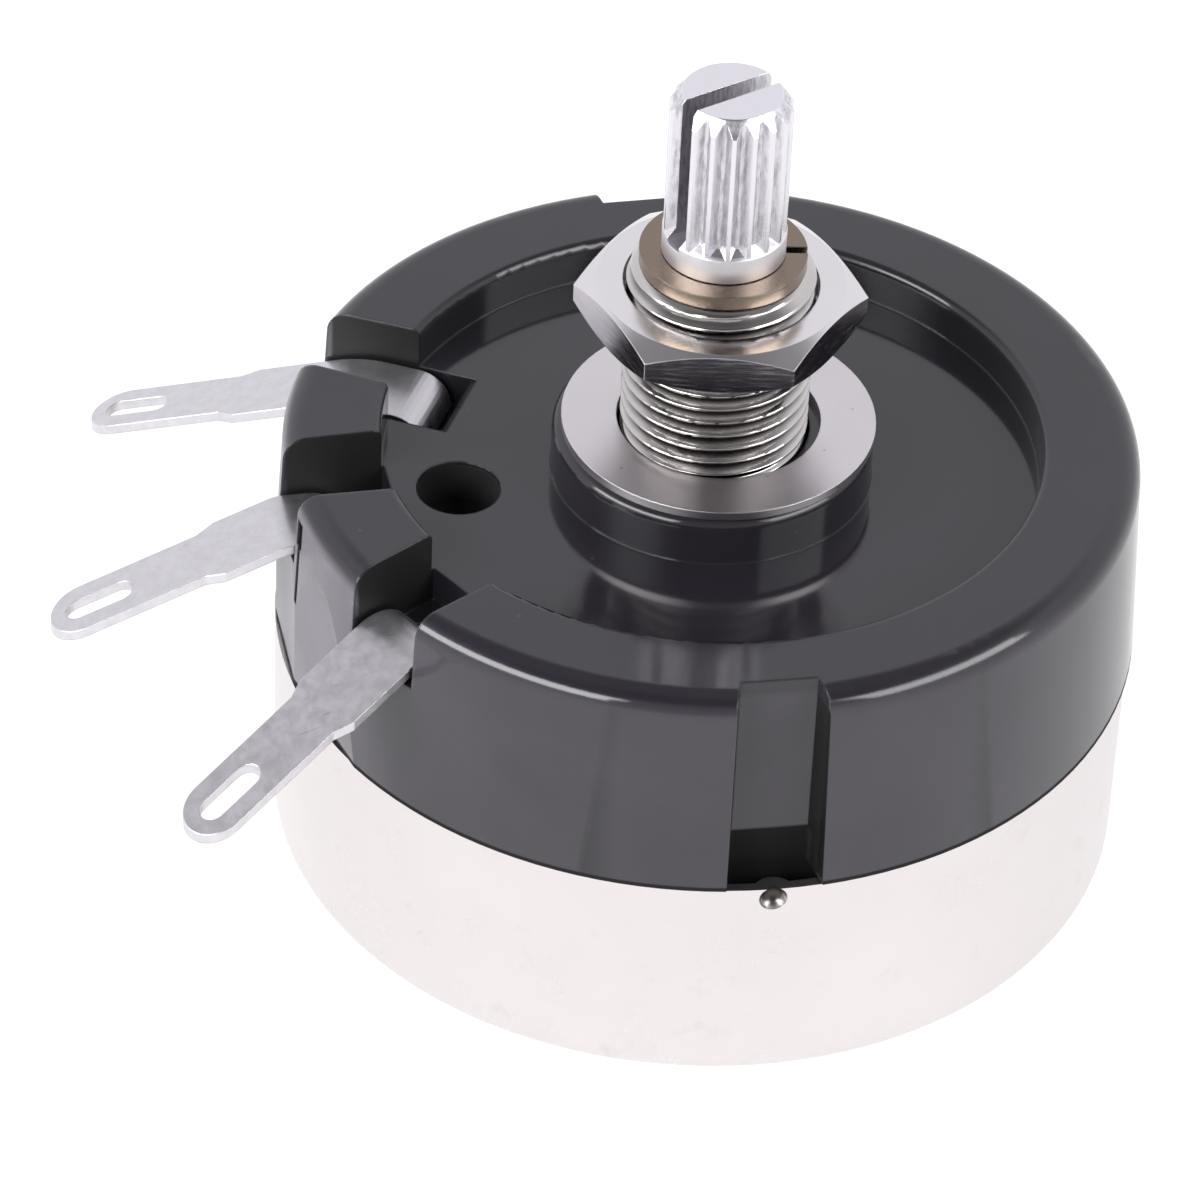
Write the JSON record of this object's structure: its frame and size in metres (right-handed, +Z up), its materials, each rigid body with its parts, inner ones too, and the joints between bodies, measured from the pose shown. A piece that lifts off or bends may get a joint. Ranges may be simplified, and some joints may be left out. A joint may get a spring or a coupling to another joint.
{
  "type": "rotary potentiometer",
  "caption": "Wire-wound rotary potentiometer with a dished black body, a nickel-plated can, a threaded bush with nut and washer, a splined shaft and solder lugs.",
  "frame": {"origin": "centre of the can's outer floor, on the shaft's axis", "axes": "+Z up the shaft from the can to the splined end, -X along the middle (wiper) lug, +Y completes a right-handed frame"},
  "size_m": [0.0542, 0.043, 0.0432],
  "materials": {
    "body_phenolic": "moulded black phenolic, glossy in the dish and satin on the wall",
    "can_nickel": "satin nickel plate on drawn steel",
    "bush_nickel": "bright nickel plate on turned brass",
    "washer_steel": "stamped steel, plated, satin",
    "nut_nickel": "turned face marks, bright plate",
    "shaft_aluminium": "turned and rolled aluminium",
    "clip_bronze": "stamped phosphor bronze",
    "lug_tin": "tinned brass, blotchy satin",
    "inner_brass": "stamped brass",
    "hub_phenolic": "moulded brown phenolic",
    "brush_carbon": "metal-loaded carbon",
    "former_fibre": "pressed fibre",
    "winding_wire": "oxidised resistance wire"
  },
  "bodies": {
    "housing": {"front_body": "body_phenolic", "rear_can": "can_nickel", "threaded_bush": "bush_nickel", "flat_washer": "washer_steel", "end_lug_back": "lug_tin", "wiper_lug": "lug_tin", "end_lug_front": "lug_tin", "thrust_washer": "inner_brass", "collector_ring": "inner_brass", "element_former": "former_fibre", "resistance_winding": "winding_wire", "end_clamp_back": "inner_brass", "end_clamp_front": "inner_brass", "insulating_disc": "former_fibre"},
    "rotor": {"shaft": "shaft_aluminium", "retaining_clip": "clip_bronze", "rotor_hub": "hub_phenolic", "wiper_arm": "inner_brass", "contact_brush": "brush_carbon", "contact_spring": "inner_brass", "rotor_rivets": "inner_brass"},
    "nut": {"hex_nut": "nut_nickel"}
  },
  "joints": [
    {"name": "shaft_turn", "type": "hinge", "parent": "housing", "child": "rotor", "pos_m": [0, 0, 0], "axis": [0, 0, 1], "range_deg": [-149.5, 149.5]},
    {"name": "nut_travel", "type": "slide", "parent": "housing", "child": "nut", "axis": [0, 0, 1], "range_m": [-0.0059, 0.001]}
  ]
}
